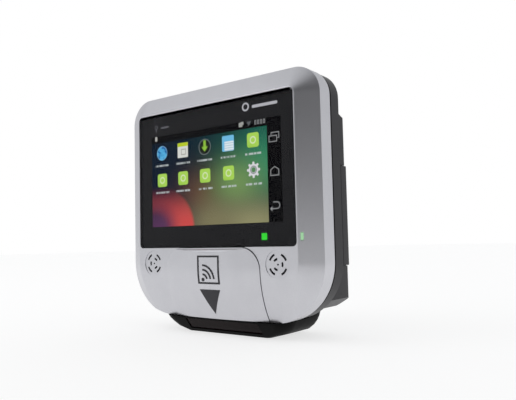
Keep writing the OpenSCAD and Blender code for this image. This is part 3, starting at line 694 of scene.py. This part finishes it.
@dataclass(frozen=True)
class ScreenPicture(Finish):
    """Lit display with a plain home screen: a soft wallpaper, icons and a key column."""

    key_column_mm: float = 39.2
    status_mm: float = 62.8
    wall_mm: tuple[float, float, float, float] = (-46.8, 39.2, 12.5, 62.8)
    first_column_mm: float = -38.1
    column_pitch_mm: float = 17.04
    rows_mm: tuple[float, float] = (56.5, 40.4)
    label_drop_mm: float = 7.5
    strength: float = 1.14

    def wallpaper(self, net: Net, x: Signal, up: Signal) -> bpy.types.NodeSocket:
        """Draws the wallpaper as soft blots over dark blue.

        Args:
            net: The material's tree.
            x: Place across, in millimetres.
            up: Height above the glass's lower edge, in millimetres.

        Returns:
            The wallpaper's colour.
        """
        left, right, low, high = self.wall_mm
        u = (x - left) / (right - left)
        v = (up - low) / (high - low)
        sheet: Any = shade(3, 22, 42)
        blots = (
            (shade(8, 62, 66), 0.98, 1.05, 0.42, 0.34, 1.0),
            (shade(48, 140, 102), 1.08, 0.62, 0.36, 0.36, 1.0),
            (shade(96, 62, 52), 0.46, 0.34, 0.20, 0.28, 0.95),
            (shade(116, 154, 90), 0.76, 0.44, 0.20, 0.26, 0.95),
            (shade(150, 148, 108), 0.88, -0.02, 0.36, 0.26, 1.0),
            (shade(132, 126, 92), 0.56, 0.0, 0.20, 0.24, 0.9),
            (shade(96, 56, 96), 0.08, -0.02, 0.20, 0.24, 0.9),
        )
        for colour, at_u, at_v, wide, tall, share in blots:
            off_u, off_v = (u - at_u) / wide, (v - at_v) / tall
            spread = net.maths("EXPONENT", -(off_u * off_u + off_v * off_v))
            sheet = net.mixed(sheet, colour, spread * share)
        arc = ((u - 0.02) / 0.36).span((v + 0.02) / 0.5)
        glow = net.smooth(arc, 0.25, 0.8) * (1 - net.smooth(arc, 0.98, 1.08))
        return net.mixed(sheet, shade(212, 78, 76), glow * (1 - net.smooth(v, 0.0, 0.5)))

    def icons(self, net: Net, pen: Drawing, picture: Any) -> Any:
        """Draws the icons, their labels and the status items over a picture.

        Args:
            net: The material's tree.
            pen: Drawing over the screen's coordinates.
            picture: Colour that lies under them.

        Returns:
            The colour with the icons.
        """
        high, low = self.rows_mm
        columns = [self.first_column_mm + self.column_pitch_mm * k for k in range(5)]
        half = self.column_pitch_mm / 2
        local = (pen.across - (self.first_column_mm - half)) % self.column_pitch_mm - half
        column = Drawing(net, local, pen.up, pen.edge_mm)

        # green tiles: four in the lower row and one at the upper row's end
        last = pen.across > columns[4] - half
        lit = net.smooth(local * 0.4 + (pen.up + 5) % 16.4, 3.0, 11.0)
        green = net.mixed(shade(128, 190, 52), shade(176, 222, 92), lit)
        tiles = (column.tile(0, low - 0.2, 3.9, 3.9, 1.4) * (1 - last)).most(
            column.tile(0, high - 0.2, 3.9, 3.9, 1.4) * last
        )
        picture = net.mixed(picture, green, tiles)
        cut = column.ring(0, low - 0.2, 1.7, 0.7) * (1 - last)
        cut = cut.most(column.ring(0, high - 0.2, 1.7, 0.7) * last)
        picture = net.mixed(picture, shade(222, 240, 190), cut)

        # labels, in two rows
        ragged = net.smooth(net.noise(0.55, 1.0, (1.0, 1.0, 0.1)), 0.36, 0.5)
        width = 4.6 + 1.6 * net.noise(20.0, 0.0, (1.0, 0.0, 1.0))
        for row in (high - self.label_drop_mm, low - self.label_drop_mm):
            bar = pen.filled((abs(local) - width).most(abs(pen.up - row) - 0.55))
            picture = net.mixed(picture, shade(206, 214, 216), bar * ragged * 0.8)

        # upper row: a blue disc, a day sheet, a download disc and a page
        blue = net.mixed(
            shade(22, 98, 170), shade(86, 182, 232), net.smooth(net.noise(3.2, 1.0), 0.42, 0.6)
        )
        picture = net.mixed(picture, blue, pen.disc(columns[0], high, 4.3))
        picture = net.mixed(
            picture, shade(150, 200, 232), pen.ring(columns[0], high, 4.1, 0.4) * 0.7
        )
        x = columns[1]
        picture = net.layered(
            picture,
            (shade(226, 228, 222), pen.tile(x, high, 4.1, 4.3, 0.5)),
            (shade(192, 212, 38), pen.tile(x, high + 3.3, 4.1, 1.1, 0.4)),
            (shade(168, 168, 158), pen.border(x + 0.6, high - 1.0, 1.7, 1.5, 0.5)),
        )
        x = columns[2]
        arrow = pen.tile(x, high + 1.8, 0.9, 1.9).most(pen.wedge(x, high - 2.7, 2.4, 2.8))
        picture = net.layered(
            picture,
            (shade(22, 28, 18), pen.disc(x, high, 4.3)),
            (shade(120, 130, 132), pen.ring(x, high, 4.3, 0.45)),
            (shade(150, 204, 66), arrow),
        )
        x = columns[3]
        sheet = pen.tile(x + 0.7, high - 1.5, 3.2, 2.6, 0.4)
        lines = pen.filled(abs(pen.up % 1.3 - 0.65) - 0.14) * sheet
        picture = net.layered(
            picture,
            (shade(116, 196, 238), pen.tile(x, high, 4.2, 4.3, 0.8)),
            (shade(232, 244, 250), sheet),
            (shade(120, 176, 206), lines * 0.8),
        )

        # lower row's end: a cog
        x = columns[4]
        away = pen.from_centre(x, low)
        turn = net.maths("ARCTAN2", pen.up - low, pen.across - x)
        tooth = net.smooth(net.maths("COSINE", turn * 8.0), -0.2, 0.5)
        cog = pen.filled(away - (3.2 + tooth * 1.1)) * (1 - pen.filled(away - 1.4))
        hub = pen.filled(abs(away - 1.9) - 0.3) * 0.8
        return net.layered(picture, (shade(226, 226, 230), cog), (shade(108, 112, 118), hub))

    def keys(self, net: Net, pen: Drawing, picture: Any) -> Any:
        """Draws the key column and the status bar.

        Args:
            net: The material's tree.
            pen: Drawing over the screen's coordinates.
            picture: Colour that lies under them.

        Returns:
            The finished picture.
        """
        x = self.key_column_mm + 4.4
        black = (pen.across > self.key_column_mm).most(pen.up > self.status_mm)
        picture = net.mixed(picture, shade(0, 0, 1), black)
        grey = shade(150, 152, 154)
        cards = pen.border(x - 0.7, 55.4, 2.4, 1.5, 0.45)
        cards = cards.most(
            pen.border(x + 0.7, 57.1, 2.4, 1.5, 0.45) * (1 - pen.tile(x - 0.7, 55.4, 2.8, 1.9))
        )
        roof = abs(pen.across - x) * 0.62 + pen.up - 40.9
        house = abs(roof.most(abs(pen.across - x) - 2.5).most(36.4 - pen.up)) - 0.25
        hook = pen.ring(x + 0.9, 21.0, 1.7, 0.5) * (pen.across > x + 0.9)
        hook = hook.most(pen.tile(x - 0.7, 19.3, 1.7, 0.25)).most(
            pen.tile(x - 0.2, 22.7, 1.2, 0.25)
        )
        tip = abs(pen.up - 19.3) - (pen.across - x + 3.4)
        hook = hook.most(pen.filled(tip.most(pen.across - x + 2.0)))
        picture = net.layered(picture, (grey, cards), (grey, pen.filled(house)), (grey, hook))
        # status bar: battery, two small tiles, a signal wedge and a clock of plain noughts
        level = self.status_mm + 2.6
        card = pen.tile(22.0, level, 1.2, 1.2, 0.3).most(pen.tile(23.1, level + 0.7, 0.9, 0.9))
        digit = Drawing(net, (pen.across - 31.0) % 1.9 - 0.95, pen.up, pen.edge_mm)
        clock = digit.border(0, level, 0.42, 0.95, 0.32)
        inside = (pen.across > 31.0) * (pen.across < 38.6)
        return net.layered(
            picture,
            (shade(190, 190, 186), pen.tile(-43.0, level + 0.2, 0.9, 1.4, 0.2)),
            (shade(168, 170, 166), card),
            (shade(96, 100, 104), pen.wedge(27.6, level - 1.3, 1.7, 2.4)),
            (shade(158, 160, 162), clock * inside),
        )

    def draw(self, net: Net) -> None:
        """Draws the whole picture and lights it."""
        x, _, z = net.place()
        up = z - GLASS_LOW.z / MM
        pen = Drawing(net, x, up, 0.3)
        picture = self.icons(net, pen, self.wallpaper(net, x, up))
        net.surface(
            shade(2, 2, 3),
            0.4,
            more={
                "Specular IOR Level": 0.0,
                "Emission Color": self.keys(net, pen, picture),
                "Emission Strength": self.strength,
            },
        )


FINISHES: dict[str, Finish] = {
    "silver_plastic": SatinPaint("satin silver paint"),
    "dark_plastic": MouldedPlastic("dark grey moulding"),
    "black_plastic": MouldedPlastic(
        "black moulding", shade(7, 7, 7), shade(14, 14, 14), 0.46, 0.3, 0.005, 0.05
    ),
    "black_rubber": MouldedPlastic(
        "black rubber", shade(8, 8, 9), shade(16, 16, 17), 0.62, 0.5, 0.01, 0.1
    ),
    "print_black": Ink("black ink"),
    "cover_glass": Pane("cover glass"),
    "mask_black": MaskPrint("black mask print"),
    "adhesive": MouldedPlastic(
        "foam adhesive", shade(44, 44, 46), shade(62, 62, 64), 0.8, 0.25, 0.02, 0.3
    ),
    "display": ScreenPicture("lit display"),
    "steel_sheet": BrushedMetal("stamped sheet"),
    "tray_aluminium": BrushedMetal(
        "stamped aluminium", shade(216, 218, 221), shade(188, 190, 194), 0.4
    ),
    "screw_steel": BrushedMetal(
        "screw steel", shade(150, 152, 156), shade(104, 106, 112), 0.3, (1.0, 1.0, 0.3)
    ),
    "green_light": LitGuide("green light guide"),
    "circuit_board": CircuitBoard("green circuit board"),
    "flex_amber": Film("amber film"),
    "ferrite": ScoredSheet("scored ferrite"),
    "speaker_body": MouldedPlastic(
        "loudspeaker body", shade(30, 30, 33), shade(46, 46, 50), 0.48, 0.4, 0.01
    ),
    "mesh_black": WovenMesh("woven mesh"),
    "port_steel": BrushedMetal(
        "socket shell", shade(204, 206, 210), shade(170, 172, 178), 0.26, (1.0, 1.0, 0.05)
    ),
    "port_black": MouldedPlastic(
        "socket plastic", shade(22, 22, 24), shade(36, 36, 38), 0.4, 0.2, 0.005
    ),
    "window_red": Pane("smoked red window", shade(16, 5, 6), 0.9, 0.08, 1.16, 0.04),
    "lens_glass": Pane("lens glass", shade(26, 30, 62), 0.7, 0.005, 1.52, 0.0),
    "engine_body": MouldedPlastic(
        "scan engine body", shade(34, 34, 38), shade(54, 54, 60), 0.4, 0.3, 0.006
    ),
    "brass": BrushedMetal(
        "threaded brass", shade(214, 178, 98), shade(176, 136, 66), 0.3, (1.0, 0.2, 1.0), 0.7
    ),
    "button_red": MouldedPlastic(
        "red button", shade(168, 30, 28), shade(190, 56, 50), 0.4, 0.3, 0.006
    ),
    "card_black": MouldedPlastic(
        "card plastic", shade(18, 18, 22), shade(30, 30, 36), 0.36, 0.2, 0.004
    ),
}
NODE_FINISHES: dict[str, Finish] = {
    "reader_antenna": AntennaBoard("antenna board"),
    "side_light_guide": LitGuide(
        "pale light guide", shade(150, 198, 152), shade(70, 96, 72), 0.95, 0.45
    ),
}


# ---------- softened pieces ----------


@dataclass(frozen=True)
class Crease:
    """Edges that are rounded, and how widely.

    Attributes:
        width_mm: How far the rounding reaches from the edge.
        segments: How many strips it has.
        chosen: Whether it takes an edge, by the edge's middle and its angle in degrees.
    """

    width_mm: float
    segments: int
    chosen: Callable[[Vector, float], bool]


class SoftenedPiece:
    """A merged copy of a CAD node with its creases rounded."""

    def __init__(self, node: str, name: str, body: Body) -> None:
        """Copies the node's mesh and merges its triangles into flat faces.

        Args:
            node: The CAD node that the piece stands for.
            name: The piece's own name.
            body: The body that it rides on.
        """
        self.node = node
        self.name = name
        self.body = body
        self.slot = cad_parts[node].data.materials[0].name
        self.mesh = bmesh.new()
        self.mesh.from_mesh(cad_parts[node].data)
        bmesh.ops.remove_doubles(self.mesh, verts=self.mesh.verts, dist=1e-6)
        bmesh.ops.dissolve_limit(
            self.mesh,
            angle_limit=math.radians(0.4),
            verts=self.mesh.verts,
            edges=self.mesh.edges,
        )

    def soften(self, crease: Crease, outer_only: bool = False) -> None:
        """Rounds the convex edges that a crease takes.

        Args:
            crease: Which edges, and how widely.
            outer_only: Takes only edges that nothing else of the piece lies in front of.
        """
        self.mesh.normal_update()
        tree = BVHTree.FromBMesh(self.mesh) if outer_only else None
        edges = []
        for edge in self.mesh.edges:
            if len(edge.link_faces) != 2 or not edge.is_convex:
                continue
            middle = (edge.verts[0].co + edge.verts[1].co) / 2
            point = Vector((middle.x, middle.y - GLASS_LOW.y, middle.z)) / MM
            if not crease.chosen(point, math.degrees(edge.calc_face_angle())):
                continue
            if tree is not None:
                outward = (edge.link_faces[0].normal + edge.link_faces[1].normal).normalized()
                if tree.ray_cast(middle + outward * 1e-4, outward)[0] is not None:
                    continue
            edges.append(edge)
        bmesh.ops.bevel(
            self.mesh,
            geom=edges,
            offset=crease.width_mm * MM,
            offset_type="OFFSET",
            segments=crease.segments,
            profile=0.5,
            affect="EDGES",
            clamp_overlap=True,
            material=-1,
        )

    def finish(self, sharp_degrees: float = 24.0) -> bpy.types.Object:
        """Shades the piece smoothly between its remaining sharp edges and puts it in the scene.

        Args:
            sharp_degrees: Angle past which an edge stays sharp.

        Returns:
            The piece.
        """
        self.mesh.normal_update()
        for face in self.mesh.faces:
            face.smooth = True
        for edge in self.mesh.edges:
            edge.smooth = (
                len(edge.link_faces) == 2
                and edge.calc_face_angle() < math.radians(sharp_degrees)
            )
        return place_piece(self.mesh, self.name, self.body, self.slot, self.node)


def place_piece(
    mesh: bmesh.types.BMesh, name: str, body: Body, slot: str, stands_for: str = ""
) -> bpy.types.Object:
    """Turns a bmesh into a dressed piece of the scene.

    Args:
        mesh: The shape, in the frame's place. It is used up.
        name: The piece's name.
        body: The body that it rides on.
        slot: The record's material slot, which also picks its finish.
        stands_for: A CAD node that it replaces, if any.

    Returns:
        The piece.
    """
    data = bpy.data.meshes.new(name)
    mesh.to_mesh(data)
    mesh.free()
    piece = bpy.data.objects.new(name, data)
    bpy.context.scene.collection.objects.link(piece)
    weighted = piece.modifiers.new("even shading", "WEIGHTED_NORMAL")
    weighted.keep_sharp = True
    data.materials.append(NODE_FINISHES.get(stands_for, FINISHES[slot]).material())
    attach(piece, body.value)
    if stands_for:
        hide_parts(stands_for)
    LOG.info("%s: %d faces on %s", name, len(data.polygons), body.value)
    return piece


class SubAssembly:
    """Pieces that belong together.

    Attributes:
        nodes: The CAD nodes that it dresses.
    """

    nodes: ClassVar[tuple[str, ...]] = ()

    def dress(self) -> None:
        """Gives each CAD node the finish of its material slot, or its own."""
        for name in self.nodes:
            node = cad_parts[name]
            slot = node.data.materials[0].name
            finish = NODE_FINISHES.get(name) or FINISHES[slot.split(".")[0]]
            for material_slot in node.material_slots:
                material_slot.link = "OBJECT"
                material_slot.material = finish.material()
            LOG.info("%s: %s", name, finish.name)

    def build(self) -> list[bpy.types.Object]:
        """Builds the pieces that stand for CAD nodes, if it has any."""
        return []


@dataclass
class FrontHousing(SubAssembly):
    """Silver front with its sloped border, straight rim and chin."""

    nodes: ClassVar[tuple[str, ...]] = ("front_housing", "housing_seal")
    half_width_mm: float = 68.5
    low_mm: float = 9.0
    high_mm: float = 141.0
    top_radius_mm: float = 15.0
    low_radius_mm: float = 32.0
    border_mm: float = 11.3
    border_depth_mm: float = 6.6
    rim_back_mm: float = 16.6
    inner_round_mm: float = 0.4
    outer_round_mm: float = 1.0
    back_round_mm: float = 0.35

    def inset(self, point: Vector) -> float:
        """Measures how far a point lies inside the front's outline.

        Args:
            point: The point in millimetres.

        Returns:
            The distance from the outline, positive inside.
        """
        upper = point.z > (self.low_mm + self.high_mm) / 2
        radius = self.top_radius_mm if upper else self.low_radius_mm
        side = self.half_width_mm - abs(point.x)
        end = self.high_mm - point.z if upper else point.z - self.low_mm
        if side < radius and end < radius:
            return radius - math.hypot(radius - side, radius - end)
        return min(side, end)

    def on_border(self, point: Vector, angle: float) -> bool:
        """Takes the border's inner edge and the edge where the chin cuts it."""
        inset = self.inset(point)
        depth = self.border_depth_mm * (1 - inset / self.border_mm)
        return angle > 6 and inset > 0.4 and abs(point.y - depth) < 0.12

    def on_rim(self, point: Vector, angle: float) -> bool:
        """Takes the edge between the border or chin and the rim."""
        front = self.border_depth_mm - 0.3 < point.y < self.border_depth_mm + 2.4
        return angle > 20 and front and abs(self.inset(point)) < 0.12

    def on_back(self, point: Vector, angle: float) -> bool:
        """Takes the rim's back edge."""
        back = abs(point.y - self.rim_back_mm) < 0.1
        return angle > 40 and back and abs(self.inset(point)) < 0.12

    def build(self) -> list[bpy.types.Object]:
        """Builds the softened front."""
        piece = SoftenedPiece("front_housing", "front_shell", Body.TERMINAL)
        piece.soften(Crease(self.outer_round_mm, 4, self.on_rim))
        piece.soften(Crease(self.inner_round_mm, 3, self.on_border))
        piece.soften(Crease(self.back_round_mm, 2, self.on_back))
        return [piece.finish()]


@dataclass
class GlassAndDisplay(SubAssembly):
    """Cover glass with its print and tape, and the display behind it."""

    nodes: ClassVar[tuple[str, ...]] = (
        "cover_glass",
        "glass_mask",
        "glass_tape",
        "lcd_panel",
        "lcd_tray",
        "lcd_cable",
        "tray_screws",
    )
    polish_mm: float = 0.22
    print_gap_mm: float = 0.06

    def build(self) -> list[bpy.types.Object]:
        """Builds the pane with polished front edges, clear of the print behind it."""
        pane = SoftenedPiece("cover_glass", "polished_pane", Body.TERMINAL)
        back = max(vert.co.y for vert in pane.mesh.verts)
        bmesh.ops.translate(
            pane.mesh,
            verts=[vert for vert in pane.mesh.verts if back - vert.co.y < 1e-5],
            vec=(0.0, -self.print_gap_mm * MM, 0.0),
        )
        pane.soften(Crease(self.polish_mm, 3, lambda point, angle: angle > 60 and point.y < 0.1))
        return [pane.finish()]


@dataclass
class Reader(SubAssembly):
    """Raised silver cover with its printed marks, and the antenna behind it."""

    nodes: ClassVar[tuple[str, ...]] = (
        "reader_cover",
        "reader_marks",
        "reader_antenna",
        "antenna_shield",
    )


@dataclass
class Lights(SubAssembly):
    """Green light behind the glass, the narrow one on the border and their board."""

    nodes: ClassVar[tuple[str, ...]] = ("status_light_guide", "side_light_guide", "light_board")


@dataclass
class Loudspeakers(SubAssembly):
    """Two loudspeakers behind their meshes."""

    nodes: ClassVar[tuple[str, ...]] = ("speaker_left", "speaker_right", "speaker_meshes")


@dataclass
class Electronics(SubAssembly):
    """Main board with its cans, sockets, card and reset button."""

    nodes: ClassVar[tuple[str, ...]] = (
        "main_board",
        "board_shield",
        "board_screws",
        "lan_port",
        "serial_port",
        "usb_port",
        "power_jack",
        "card_slot",
        "memory_card",
        "reset_switch",
        "reset_button",
    )


@dataclass
class RearHousing(SubAssembly):
    """Dark rear cover with its box, and the service door on the box."""

    nodes: ClassVar[tuple[str, ...]] = (
        "rear_cover",
        "service_door",
        "connector_tray",
        "mount_inserts",
        "mount_plate",
        "case_screws",
    )
    seam_back_mm: float = 18.0
    edge_round_mm: float = 0.45
    door_round_mm: float = 0.35

    def on_outside(self, point: Vector, angle: float) -> bool:
        """Takes any clear edge of the outside behind the seam."""
        return angle > 22 and point.y > self.seam_back_mm + 0.2

    def build(self) -> list[bpy.types.Object]:
        """Builds the softened cover and door."""
        cover = SoftenedPiece("rear_cover", "rear_shell", Body.TERMINAL)
        cover.soften(Crease(self.edge_round_mm, 3, self.on_outside), outer_only=True)
        door = SoftenedPiece("service_door", "service_hatch", Body.DOOR)
        door.soften(
            Crease(self.door_round_mm, 2, lambda point, angle: angle > 40), outer_only=True
        )
        return [cover.finish(), door.finish()]


@dataclass
class ScannerFoot(SubAssembly):
    """Black foot with the scan engine behind its window."""

    nodes: ClassVar[tuple[str, ...]] = (
        "scanner_housing",
        "scan_window",
        "scan_engine",
        "scan_lens",
        "scan_bracket",
        "scan_cable",
        "foot_screws",
    )
    round_mm: float = 0.4

    def build(self) -> list[bpy.types.Object]:
        """Builds the softened foot."""
        foot = SoftenedPiece("scanner_housing", "foot_shell", Body.TERMINAL)
        foot.soften(
            Crease(self.round_mm, 2, lambda point, angle: angle > 28), outer_only=True
        )
        return [foot.finish()]


# ---------- studio ----------


@dataclass
class Studio:
    """Pale floor, bright surroundings with one darker side, and a soft key light.

    Lengths are in metres and angles in degrees.

    Attributes:
        surround: Strength of the surroundings at the horizon.
        overhead: What is added to it overhead; a negative one darkens the sky.
        dark_share: How much of the light the dark side takes away.
    """

    floor_radius: float = 3.0
    floor_grey: float = 0.42
    floor_glow: float = 0.7
    surround: float = 0.76
    overhead: float = -0.12
    dark_share: float = 0.97
    dark_azimuth: float = 27.0
    dark_elevation: float = 12.0
    dark_from: float = 18.0
    dark_to: float = 55.0
    key_place: tuple[float, float, float] = (-0.55, -0.55, 0.85)
    key_size: float = 0.5
    key_power: float = 0.7
    key_aim: tuple[float, float, float] = (0.0, 0.0, 0.06)

    def build_floor(self) -> bpy.types.Object:
        """Builds the floor disc and marks it as stage."""
        mesh = bmesh.new()
        bmesh.ops.create_circle(
            mesh, cap_ends=True, radius=self.floor_radius, segments=64, matrix=Matrix()
        )
        data = bpy.data.meshes.new("studio_floor")
        mesh.to_mesh(data)
        mesh.free()
        floor = bpy.data.objects.new("studio_floor", data)
        bpy.context.scene.collection.objects.link(floor)
        material = bpy.data.materials.new("pale floor")
        material.use_nodes = True
        net = Net(material.node_tree)
        net.surface(
            (*[self.floor_grey] * 3, 1.0),
            0.9,
            more={
                "Specular IOR Level": 0.1,
                "Emission Color": WHITE,
                "Emission Strength": self.floor_glow,
            },
        )
        data.materials.append(material)
        return floor

    def build_surroundings(self) -> None:
        """Builds the world: even all round, darker overhead and to the right of the front."""
        world = bpy.data.worlds.new("studio")
        world.use_nodes = True
        bpy.context.scene.world = world
        net = Net(world.node_tree)
        direction = net.add("ShaderNodeTexCoord").outputs["Generated"]
        _, _, up = (
            Signal(net, output)
            for output in net.add("ShaderNodeSeparateXYZ", None, {0: direction}).outputs
        )
        around = math.radians(self.dark_azimuth)
        above = math.radians(self.dark_elevation)
        towards = (
            math.sin(around) * math.cos(above),
            -math.cos(around) * math.cos(above),
            math.sin(above),
        )
        facing = net.add(
            "ShaderNodeVectorMath", {"operation": "DOT_PRODUCT"}, {0: direction, 1: towards}
        )
        dark = net.smooth(
            Signal(net, facing.outputs["Value"]),
            math.cos(math.radians(self.dark_to)),
            math.cos(math.radians(self.dark_from)),
        )
        level = self.surround + net.smooth(up, 0.3, 0.95) * self.overhead
        level = level * (1 - dark * self.dark_share)
        lit = net.add(
            "ShaderNodeBackground", None, {"Color": (0.98, 0.99, 1.0, 1.0), "Strength": level}
        )
        seen = net.add(
            "ShaderNodeBackground", None, {"Color": WHITE, "Strength": 1.0}
        )
        by_camera = net.add("ShaderNodeLightPath").outputs["Is Camera Ray"]
        shown = net.add(
            "ShaderNodeMixShader", None, {0: by_camera, 1: lit.outputs[0], 2: seen.outputs[0]}
        )
        net.add("ShaderNodeOutputWorld", None, {"Surface": shown.outputs[0]})

    def build_key(self) -> None:
        """Builds the key light at the front left, aimed at the terminal."""
        light = bpy.data.lights.new("key", "AREA")
        light.size = self.key_size
        light.energy = self.key_power
        lamp = bpy.data.objects.new("key", light)
        lamp.location = self.key_place
        aim = Vector(self.key_aim) - Vector(self.key_place)
        lamp.rotation_euler = aim.to_track_quat("-Z", "Y").to_euler()
        bpy.context.scene.collection.objects.link(lamp)

    def build(self) -> None:
        """Builds floor, surroundings and light."""
        self.build_floor()
        self.build_surroundings()
        self.build_key()
        bpy.context.scene.view_settings.view_transform = "Standard"


@dataclass
class Viewpoint:
    """Camera in front, to the right of the terminal and a little below its middle."""

    place: tuple[float, float, float] = (0.2092, -0.2601, 0.0531)
    yaw: float = -36.49
    pitch: float = 3.89
    roll: float = -1.33
    lens_mm: float = 39.80
    sensor_mm: float = 36.0

    def build(self) -> bpy.types.Object:
        """Builds the camera and makes it the scene's."""
        yaw, pitch, roll = (math.radians(a) for a in (self.yaw, self.pitch, self.roll))
        forward = Vector(
            (math.sin(yaw) * math.cos(pitch), math.cos(yaw) * math.cos(pitch), math.sin(pitch))
        )
        level = Vector((math.cos(yaw), -math.sin(yaw), 0.0))
        above = level.cross(forward)
        right = level * math.cos(roll) + above * math.sin(roll)
        up = above * math.cos(roll) - level * math.sin(roll)
        data = bpy.data.cameras.new("viewpoint")
        data.lens = self.lens_mm
        data.sensor_width = self.sensor_mm
        data.clip_start = 0.01
        camera = bpy.data.objects.new("viewpoint", data)
        turn = Matrix((right, up, -forward)).transposed().to_4x4()
        camera.matrix_world = Matrix.Translation(Vector(self.place)) @ turn
        bpy.context.scene.collection.objects.link(camera)
        bpy.context.scene.camera = camera
        return camera


def main() -> None:
    """Builds the camera, the studio and every piece, in order."""
    logging.basicConfig(level=logging.INFO, format="%(message)s")
    Viewpoint().build()
    Studio().build()
    for part in (
        FrontHousing(),
        GlassAndDisplay(),
        Reader(),
        Lights(),
        Loudspeakers(),
        Electronics(),
        RearHousing(),
        ScannerFoot(),
    ):
        part.dress()
        part.build()


if __name__ == "__main__":
    main()
